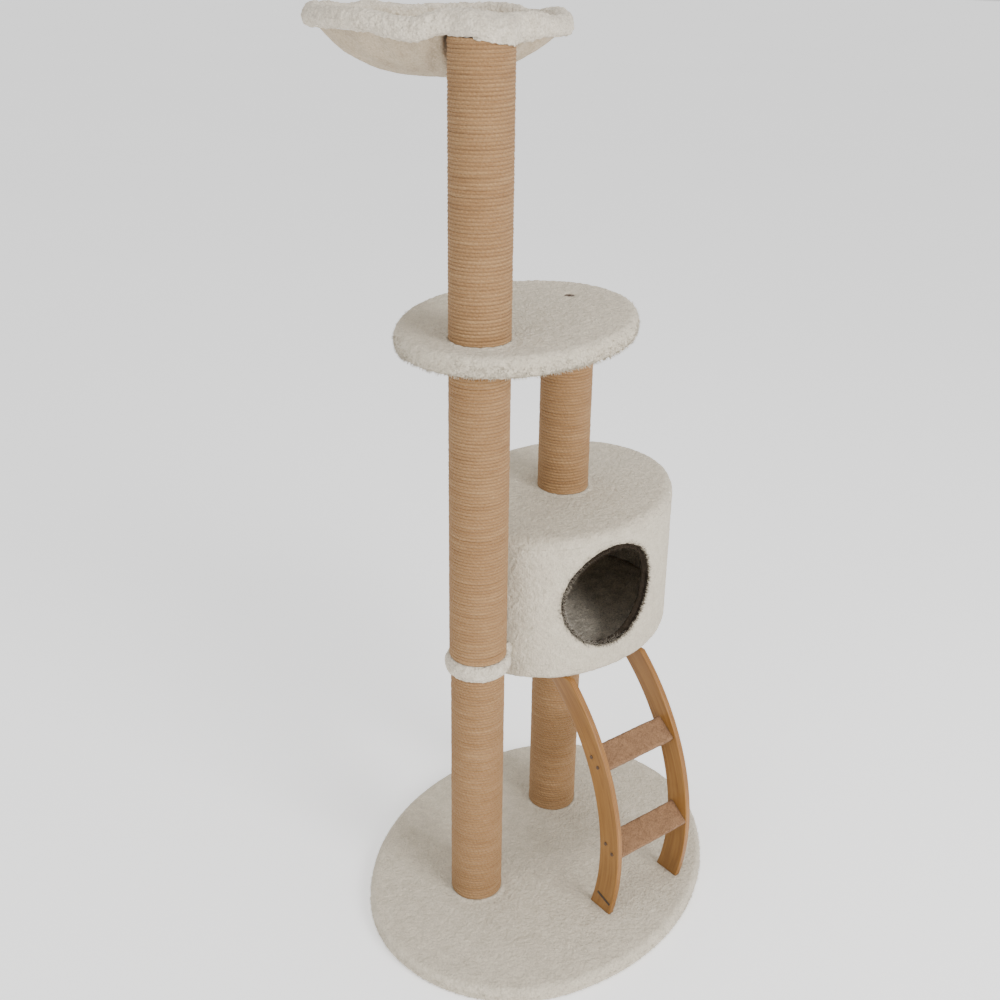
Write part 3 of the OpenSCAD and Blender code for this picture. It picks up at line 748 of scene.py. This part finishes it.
roll = [(5.6 - 3 * math.sin(a), -3 + 3.6 * math.cos(a)) for a in np.radians(np.linspace(-40, 90, 9))]
outer_lip = from_hole(*roll, (3.0, -5), (4.2, -7), (7, -4.5))
lip("entrance_lip", outer_lip, 21, 0.0009, 0.0055, "cream_plush")
inner_lip = from_hole((3.2, -3.0), (1.9, -3.4), (0.8, -4.6), (0.3, -7), (0.2, -12), (1.5, -15.2), (4, -16.4),
                      (7.5, -16.2), (7.5, -13.5), (3.2, -10.5), (3.0, -6), (3.7, -4.2))
lip("entrance_binding", inner_lip, 22, 0.0016, 0.0045, "entry_binding", "condo_entry_trim")


def fibres(name, roots, dirs, length, width, seed, slot):
    """Short tapering fibres, each a thin three-sided spike."""
    rng = np.random.default_rng(seed)
    n = len(roots)
    side = np.cross(dirs, rng.normal(size=(n, 3)))
    side /= np.linalg.norm(side, axis=1)[:, None]
    other = np.cross(dirs, side)
    ln = length * rng.uniform(0.55, 1.0, n)[:, None]
    bend = side * ln * rng.uniform(-0.35, 0.35, n)[:, None]
    parts = []
    for f, w in ((0.0, 1.0), (0.55, 0.75)):
        at = roots + dirs * ln * f + bend * f * f
        for a in (0, TAU / 3, 2 * TAU / 3):
            parts.append(at + (side * math.cos(a) + other * math.sin(a)) * width * w / 2)
    parts.append(roots + dirs * ln + bend)
    v = np.stack(parts, 1).reshape(-1, 3)
    v[:, 2] = np.maximum(v[:, 2], 0.4 * MM)
    k = np.arange(n)[:, None] * 7
    quads = np.concatenate([k + np.array([f]) for f in ((0, 1, 4, 3), (1, 2, 5, 4), (2, 0, 3, 5))])
    tris = np.concatenate([k + np.array([f]) for f in ((3, 4, 6), (4, 5, 6), (5, 3, 6), (0, 2, 1))])
    return finish_piece(mesh_object(name, v, quads, tris), slot)


rng = np.random.default_rng(5)
n_f = 4800
psi = rng.uniform(0, TAU, n_f)
rad = HOLE_R + rng.uniform(0.7, 3.2, n_f) * MM
x, z = HOLE_X + rad * np.cos(psi), HOLE_Z + rad * np.sin(psi)
roots = np.column_stack([wall_point(x, -3.6 * MM), z])
out_n = np.concatenate([-E_Y, [0]])
in_hole = -(np.cos(psi)[:, None] * np.concatenate([E_T, [0]]) + np.sin(psi)[:, None] * np.array([0, 0, 1.0]))
mixing = rng.uniform(-0.5, 1.0, n_f)[:, None]
dirs = out_n * rng.uniform(0.25, 1.0, n_f)[:, None] + in_hole * mixing + 0.3 * rng.normal(size=(n_f, 3))
dirs /= np.linalg.norm(dirs, axis=1)[:, None]
# painted light and shade: fibres at the lower left, where light falls into the entrance, take the lighter lining
# colour as painted light; the rest take the binding's near-black colour as painted shade
lit = rng.uniform(size=n_f) < 0.6 * np.clip(-np.cos(psi - 0.6), 0, 1)
fibres("entrance_fringe_painted_light", roots[lit], dirs[lit], 12 * MM, 0.8 * MM, 7, "grey_lining")
fibres("entrance_fringe_painted_shade", roots[~lit], dirs[~lit], 12 * MM, 0.7 * MM, 8, "entry_binding")


def edge_nap(name, oval, z_low, z_high, n, length, seed):
    """Loose pile round the side of a covered board, combed outwards and down."""
    rng = np.random.default_rng(seed)
    th = oval.angles(n) + rng.uniform(-0.01, 0.01, n)
    up = rng.uniform(0, 1, n) ** 1.4
    z = z_low + (z_high - z_low) * up
    bulge = 4 * (z - z_low) * (z_high - z) / (z_high - z_low) ** 2
    inset = (3.4 * MM * (1 - bulge) + 1.6 * MM)[:, None]
    roots = np.column_stack([oval.at(th, 0) - inset * np.stack([np.cos(th), np.sin(th)], -1), z])
    out = np.column_stack([np.cos(th), np.sin(th), rng.uniform(-1.3, 0.35, n) - 0.5 * (up < 0.25)])
    dirs = out + 0.45 * rng.normal(size=(n, 3))
    dirs /= np.linalg.norm(dirs, axis=1)[:, None]
    fibres(name, roots, dirs, length, 1.1 * MM, seed, "cream_plush")


edge_nap("platform_nap", PLAT, PLAT_LO[2] + 3 * MM, PLAT_HI[2] - 5 * MM, 4800, 7.5 * MM, 31)
edge_nap("base_nap", BASE, 3 * MM, BASE_TOP - 5 * MM, 4800, 6.5 * MM, 32)


# ---------------------------------------------------------------- link board's plush
def wall_distance(th):
    """How far the condo's wall is from the front post, in direction th."""
    w = CONDO.at(np.linspace(math.pi - 1.0, math.pi + 1.0, 3000), 0.0) - FRONT
    a = np.arctan2(w[:, 1], w[:, 0])
    order = np.argsort(a)
    return np.interp(th, a[order], np.hypot(w[:, 0], w[:, 1])[order])


n_link = 300
th = np.linspace(-math.pi, math.pi, n_link, endpoint=False)
NECK_HALF = 30 * MM
lobe_r = (LINK_HI - LINK_LO)[1] / 2
neck = np.minimum(NECK_HALF / np.maximum(np.abs(np.sin(th)), 1e-3), wall_distance(th) + 1.5 * MM)
reach = np.where(np.abs(th) < 0.9, np.maximum(lobe_r, neck), lobe_r)
zc, hz = (LINK_LO[2] + LINK_HI[2]) / 2, (LINK_HI[2] - LINK_LO[2]) / 2
flat = -13.5 * MM
rows = [(flat, hz * 0.95, k) for k in (0.05, 0.3, 0.6, 0.9)] + [(flat, hz * 0.96, 1.0), (flat, hz * 0.97, 1.0)]
for a in np.radians(np.linspace(80, -80, 19)):
    rows.append((9 * MM * (math.cos(a) - 1), hz * math.sin(a), 1.0))
rows += [(flat, -hz * 0.95, k) for k in (1.0, 0.9, 0.6, 0.3, 0.05)]
pts = np.array([np.column_stack([FRONT[0] + (reach + g) * k * np.cos(th), FRONT[1] + (reach + g) * k * np.sin(th),
                                 np.full(n_link, zc + z)]) for g, z, k in rows])
v, q, t = capped_grid(pts)
link = outward(mesh_object("link_plush", v, q, t))
pile(link, 0.0016, 0.0055, 31)
finish_piece(link, "cream_sherpa", "link_cover")


# ---------------------------------------------------------------- ladder
RAIL_T = 10 * MM
ARC_U, ARC_Z = -77 * MM, BASE_TOP + 106 * MM
R_OUT, R_IN = 397 * MM, 352 * MM
Z_FOOT, Z_HEAD = BASE_TOP, WALL_LO[2]


def to_world(x, u, z):
    """Ladder coordinates: x along the treads, u outwards from the rear post, z up."""
    x, u, z = np.broadcast_arrays(x, u, z)
    xy = REAR + x[..., None] * E_T - u[..., None] * E_Y
    return np.concatenate([xy, z[..., None]], -1)


def rail(name, node, x0, seed):
    n = 150
    s = np.linspace(0, 1, n)
    a_in = np.interp(s, [0, 1], [math.asin((Z_FOOT - ARC_Z) / R_IN), math.asin((Z_HEAD - ARC_Z) / R_IN)])
    a_out = np.interp(s, [0, 1], [math.asin((Z_FOOT - ARC_Z) / R_OUT), math.asin((Z_HEAD - ARC_Z) / R_OUT)])
    p_in = np.stack([ARC_U + R_IN * np.cos(a_in), ARC_Z + R_IN * np.sin(a_in)], 1)
    p_out = np.stack([ARC_U + R_OUT * np.cos(a_out), ARC_Z + R_OUT * np.sin(a_out)], 1)
    width = np.linalg.norm(p_out - p_in, axis=1)
    b = 1.6 * MM
    # section: (which edge or "w" between them, step from it, which face or "x" between them, step from it)
    sec = []
    corner = [(1, 1), (1, 0), (0, 0), (0, 1)]
    for ci, (cw, cx) in enumerate(corner):
        for k in range(5):
            ang = math.pi / 2 * (1 - ci) - math.pi / 2 * k / 4
            sec.append((cw, (b * (math.cos(ang) - (1 if cw else -1))) if cw else b * (math.cos(ang) + 1),
                        cx, (b * (math.sin(ang) - 1)) if cx else b * (math.sin(ang) + 1)))
        nxt = corner[(ci + 1) % 4]
        if ci in (1, 3):
            for k in range(1, 8):
                f = k / 8
                sec.append(("w", f if ci == 3 else 1 - f, cx, 0.0))
        else:
            for k in range(1, 5):
                f = k / 5
                sec.append((cw, 0.0, "x", 1 - f if ci == 0 else f))
    rows, uv, ply, edge = [], [], [], []
    L = np.concatenate([[0], np.cumsum(np.linalg.norm(np.diff((p_in + p_out) / 2, axis=0), axis=1))])
    for i in range(n):
        d = (p_out[i] - p_in[i]) / width[i]
        ring = []
        for cw, dw, cx, dx in sec:
            if cw == "w":
                w = b + (width[i] - 2 * b) * dw
            else:
                w = (width[i] if cw else 0) + dw
            if cx == "x":
                x = b + (RAIL_T - 2 * b) * dx
            else:
                x = (RAIL_T if cx else 0) + dx
            p = p_in[i] + d * w
            ring.append((x0 + x, p[0], p[1]))
            uv.append((L[i] + 0.37 * seed, w + (0.1 if cx == "x" else 0) + x))
            ply.append(x / RAIL_T)
            edge.append(1.0 if (w < 0.9 * b or w > width[i] - 0.9 * b) else 0.0)
        rows.append(ring)
    rows = np.array(rows)
    world = to_world(rows[..., 0], rows[..., 1], rows[..., 2])
    v, q, t = capped_grid(world)
    uv = np.concatenate([np.array(uv), [[0.0, 0.02], [L[-1], 0.02]]])
    ob = outward(mesh_object(name, v, q, t, uv))
    for nm, vals in (("ply", ply + [0.5, 0.5]), ("edge", edge + [1.0, 1.0])):
        at = ob.data.attributes.new(nm, "FLOAT", "POINT")
        at.data.foreach_set("value", np.array(vals, np.float32))
    return finish_piece(ob, "rail_ply", node)


X_LEFT, X_RIGHT = -129 * MM, 30 * MM
rail("rail_left", "ladder_rail_left", X_LEFT, 1)
rail("rail_right", "ladder_rail_right", X_RIGHT, 2)


TREAD_SLOPE = math.radians(-36)


def tread(name, node, centre, seed):
    w, h, rad = 45 * MM, 17 * MM, 3.6 * MM
    sec = []
    for cx, cy, a0 in ((1, 1, 0), (-1, 1, 90), (-1, -1, 180), (1, -1, 270)):
        for k in range(6):
            a = math.radians(a0 + 90 * k / 5)
            sec.append((cx * (w / 2 - rad) + rad * math.cos(a), cy * (h / 2 - rad) + rad * math.sin(a)))
        nx = {(1, 1): (-1, 1), (-1, 1): (-1, -1), (-1, -1): (1, -1), (1, -1): (1, 1)}[(cx, cy)]
        steps = 16 if cy == nx[1] else 3
        p0 = np.array(sec[-1])
        a = math.radians(a0 + 90)
        p1 = np.array((nx[0] * (w / 2 - rad) + rad * math.cos(a), nx[1] * (h / 2 - rad) + rad * math.sin(a)))
        for k in range(1, steps):
            sec.append(tuple(p0 + (p1 - p0) * k / steps))
    sec = np.array(sec)
    du = sec[:, 0] * math.cos(TREAD_SLOPE) - sec[:, 1] * math.sin(TREAD_SLOPE)
    dz = sec[:, 0] * math.sin(TREAD_SLOPE) + sec[:, 1] * math.cos(TREAD_SLOPE)
    xs = np.linspace(X_LEFT + RAIL_T + 0.1 * MM, X_RIGHT - 0.1 * MM, 64)
    rows = np.array([to_world(np.full(len(sec), x), centre[0] + du, centre[1] + dz) for x in xs])
    v, q, t = capped_grid(rows)
    ob = outward(mesh_object(name, v, q, t))
    ends = (X_LEFT + RAIL_T, X_RIGHT)

    def keep(c):
        x, _ = entrance_xy(c)
        return np.clip(np.minimum(x - ends[0], ends[1] - x) / (3 * MM), 0, 1)
    pile(ob, 0.0006, 0.006, seed, keep)
    return finish_piece(ob, "tread_carpet", node)


# centres: outwards from the rear post, and up
UPPER_TREAD = (252 * MM, BASE_TOP + 284 * MM)
LOWER_TREAD = (297 * MM, BASE_TOP + 135 * MM)
tread("tread_upper_carpet", "tread_upper_cover", UPPER_TREAD, 41)
tread("tread_lower_carpet", "tread_lower_cover", LOWER_TREAD, 42)


# ---------------------------------------------------------------- hammock
# height of the rim's middle over the wire in mm, by direction in degrees
AZ = np.array([0, 8, 14, 22, 30, 42, 52, 60, 69, 76, 83, 91, 99, 110, 122, 138, 151, 167, 178, 182, 187, 194,
               201, 205, 210, 214, 222, 227, 231, 236, 240, 245, 252, 261, 269, 283, 297, 308, 318, 326, 333,
               339, 344, 349, 354, 360.0])
DZ = np.array([3.2, 1.5, -1, -0.5, 0.5, -2.5, -2.3, 1, 4.4, 2, 0.5, 4, 8, 7.5, 6, 9, 10, 11, 11, 10, 6, 2.5,
               0.8, 2, 7.5, 10, 8.5, 6, 3, -1, -3.5, -4.5, -1, 4, 2, -1, -2.5, 0, 3.7, 2, -1.4, -4.2, -2.5, 2,
               4, 3.2])


def wave(az):
    a = np.degrees(np.mod(az, TAU))
    k = np.interp(np.arange(0, 720) / 2, AZ, DZ)
    g = np.exp(-(np.arange(-12, 13) / 5.0) ** 2)
    g /= g.sum()
    k = np.convolve(np.concatenate([k[-12:], k, k[:12]]), g, "valid")
    return np.interp(a, np.arange(0, 721) / 2, np.append(k, k[0])) * MM


n_az, n_sec = 640, 56
az = np.arange(n_az) / n_az * TAU
sec = np.arange(n_sec) / n_sec * TAU
A, S = np.meshgrid(az, sec, indexing="ij")
cen = wave(A)
far = 0.18 + 0.014 * np.cos(S)
lump = fbm(np.stack([np.cos(A) * far, np.sin(A) * far, 0.014 * np.sin(S)], -1), 0.03, 2, 61)
POST_DIR = FRONT - RING_C[:2]
post_far, post_az = math.hypot(*POST_DIR), math.atan2(POST_DIR[1], POST_DIR[0])
off = np.mod(A - post_az + math.pi, TAU) - math.pi
reach = post_far * np.cos(off) + np.sqrt(np.maximum((POST_R + 3 * MM) ** 2 - (post_far * np.sin(off)) ** 2, 0))
reach = np.where(np.abs(off) < math.asin((POST_R + 3 * MM) / post_far), reach, 0)
nose = np.maximum(reach + 4 * MM - (WIRE_R + 13.5 * MM), 0)[:, 0] * (reach[:, 0] > 0)
ker = np.exp(-(np.arange(-14, 15) / 6.0) ** 2)
nose = np.convolve(np.concatenate([nose[-14:], nose, nose[:14]]), ker / ker.sum(), "valid")[:, None]
deg = np.degrees(np.mod(A, TAU))
lip_dz = np.interp(deg, [208, 216, 224, 232, 239, 246, 254], [0, -4, -6, -7, -6, -3, 0]) * MM
rad_r = (13.5 + 1.6 * lump) * MM + nose / 2
hump = np.exp(-np.abs((deg - 236) / 25.0) ** 3)
rad_z = (14.0 + 5.5 * hump + 1.0 * np.sin(6 * A + 0.7) + 1.5 * lump) * MM
rr = WIRE_R + nose / 2 + rad_r * np.cos(S) + 1.5 * MM * np.sin(7 * A + 1.1)
zz = RING_C[2] + cen + 5.5 * MM * hump + rad_z * np.sin(S) + lip_dz * np.clip((rr - WIRE_R - 2 * MM) / (35 * MM), 0, 1)
rim_v = np.stack([RING_C[0] + rr * np.cos(A), RING_C[1] + rr * np.sin(A), zz], -1)


def clear_post(p):
    """Keeps fabric off the top of the tall post and its bracket."""
    d = np.hypot(p[..., 0] - FRONT[0], p[..., 1] - FRONT[1])
    lift = POST_TOP + np.where(d < 14 * MM, 9.5 * MM, np.where(d < 40 * MM, 4.2 * MM, 1.2 * MM))
    need = (d < POST_R + 1.2 * MM) & (p[..., 2] < lift)
    out = (d > POST_R - 5 * MM) & (p[..., 2] < POST_TOP - 1 * MM)
    k = (POST_R + 1.2 * MM) / np.maximum(d, 1e-6)
    pushed = p.copy()
    pushed[..., 0] = FRONT[0] + (p[..., 0] - FRONT[0]) * k
    pushed[..., 1] = FRONT[1] + (p[..., 1] - FRONT[1]) * k
    lifted = p.copy()
    lifted[..., 2] = np.maximum(p[..., 2], lift)
    q = np.where((need & out)[..., None], pushed, p)
    return np.where((need & ~out)[..., None], lifted, q)


rim_v = clear_post(rim_v)
rim = outward(mesh_object("hammock_sherpa_rim", rim_v.reshape(-1, 3), grid_faces(n_az, n_sec, True, True)))
pile(rim, 0.0022, 0.0068, 62, curl=0.75)
finish_piece(rim, "cream_sherpa", "hammock_rim")

DEPTH, BOWL_T = 72 * MM, 2.2 * MM
n_r, n_a = 84, 420
rad = np.linspace(0.01, 1, n_r)
az = np.arange(n_a) / n_a * TAU
Rr, Aa = np.meshgrid(rad * (WIRE_R - 4 * MM), az, indexing="ij")
x = RING_C[0] + Rr * np.cos(Aa)
y = RING_C[1] + Rr * np.sin(Aa)
f = Rr / WIRE_R
sag = -DEPTH * (1 - f ** 2.6)
pleat = (2.0 * MM) * np.clip(f - 0.45, 0, 1) * np.sin(11 * Aa + 2 * np.sin(3 * Aa)) * (1 - f) * 4
gather = 2.6 * MM * np.sin(23 * Aa + 2.2 * np.sin(3 * Aa + 1)) * np.clip((f - 0.4) / 0.45, 0, 1) ** 1.3
soft = 2.6 * MM * fbm(np.stack([x, y, x * 0], -1), 0.05, 2, 71) * (1 - f)
z = RING_C[2] + sag + pleat + gather + soft + wave(Aa) * np.clip((f - 0.75) / 0.25, 0, 1)
d = np.hypot(x - FRONT[0], y - FRONT[1])
over = POST_TOP + 10.6 * MM
k = 1 / (1 + np.exp((d - (POST_R + 4.5 * MM)) / (1.3 * MM)))
z = np.maximum(z, z + (over - z) * k)
bowl_v = np.stack([x, y, z], -1)
v = bowl_v.reshape(-1, 3)
q = grid_faces(n_r, n_a)
v = np.concatenate([v, bowl_v[:1].mean(1)])
j = np.arange(n_a)
tri = np.stack([np.full(n_a, n_r * n_a), (j + 1) % n_a, j], 1)
bowl = mesh_object("hammock_bowl_plush", v, q, tri)
nrm = normals(bowl)
if nrm[:, 2].mean() < 0:
    bowl.data.flip_normals()
    nrm = normals(bowl)
top_v = v + nrm * BOWL_T / 2
low_v = v - nrm * BOWL_T / 2
bpy.data.objects.remove(bowl)
nv = len(v)
edge = (n_r - 1) * n_a + j
nxt = (n_r - 1) * n_a + (j + 1) % n_a
side = np.stack([edge, nxt, nxt + nv, edge + nv], 1)
bowl = mesh_object("hammock_bowl_plush", np.concatenate([top_v, low_v]), np.concatenate([q, q[:, ::-1] + nv, side]),
                   np.concatenate([tri, tri[:, ::-1] + nv]))
outward(bowl)
pile(bowl, 0.0006, 0.006, 72)
finish_piece(bowl, "hammock_plush", "hammock_bowl")

# ---------------------------------------------------------------- floor, light and camera
floor_m = Mat("studio_floor_mat", (0.95, 0.95, 0.95), 0.9, spec=0.05)
floor_m.b.inputs["Emission Color"].default_value = (1, 1, 1, 1)
floor_m.b.inputs["Emission Strength"].default_value = 0.5
fo = floor_m.where()
floor_m.base(floor_m.ramp(floor_m.noise(fo, 0.6, 2), [(0.3, (0.94, 0.94, 0.94)), (0.7, (0.96, 0.96, 0.96))]))
corners = np.array([[-30, -30, 0], [30, -30, 0], [30, 30, 0], [-30, 30, 0]], float)
floor = mesh_object("studio_floor", corners, [[0, 1, 2, 3]])
floor.data.materials.append(floor_m.m)

world = bpy.data.worlds.new("studio")
bpy.context.scene.world = world
world.use_nodes = True
bg = world.node_tree.nodes["Background"]
bg.inputs["Color"].default_value = (1, 1, 1, 1)
bg.inputs["Strength"].default_value = 0.88

CAM_AT = Vector((-1.6481, -0.83879, 1.57266))
CAM_R = Vector((0.49684, -0.867751, 0.012557))
CAM_U = Vector((0.355547, 0.216728, 0.909184))
CAM_F = Vector((0.791667, 0.447255, -0.416205))


def area_light(name, at, target, size, power):
    li = bpy.data.lights.new(name, "AREA")
    li.shape = "DISK"
    li.size = size
    li.energy = power
    ob = bpy.data.objects.new(name, li)
    bpy.context.scene.collection.objects.link(ob)
    ob.location = at
    ob.rotation_mode = "QUATERNION"
    ob.rotation_quaternion = (Vector(target) - Vector(at)).to_track_quat("-Z", "Y")
    return ob


area_light("key", (-1.2, -3.5, 2.35), (0, 0, 0.75), 2.0, 165)
area_light("fill", (-3.4, 0.4, 2.4), (0, 0, 0.7), 2.2, 34)
area_light("top", (0.4, 0.2, 4.2), (0, 0, 0.5), 2.5, 24)

cam_data = bpy.data.cameras.new("camera")
cam_data.sensor_width = 36
cam_data.lens = 1275.992 / 1000 * 36
cam = bpy.data.objects.new("camera", cam_data)
bpy.context.scene.collection.objects.link(cam)
rot = Matrix((CAM_R, CAM_U, -CAM_F)).transposed()
cam.matrix_world = Matrix.Translation(CAM_AT) @ rot.to_4x4()
bpy.context.scene.camera = cam
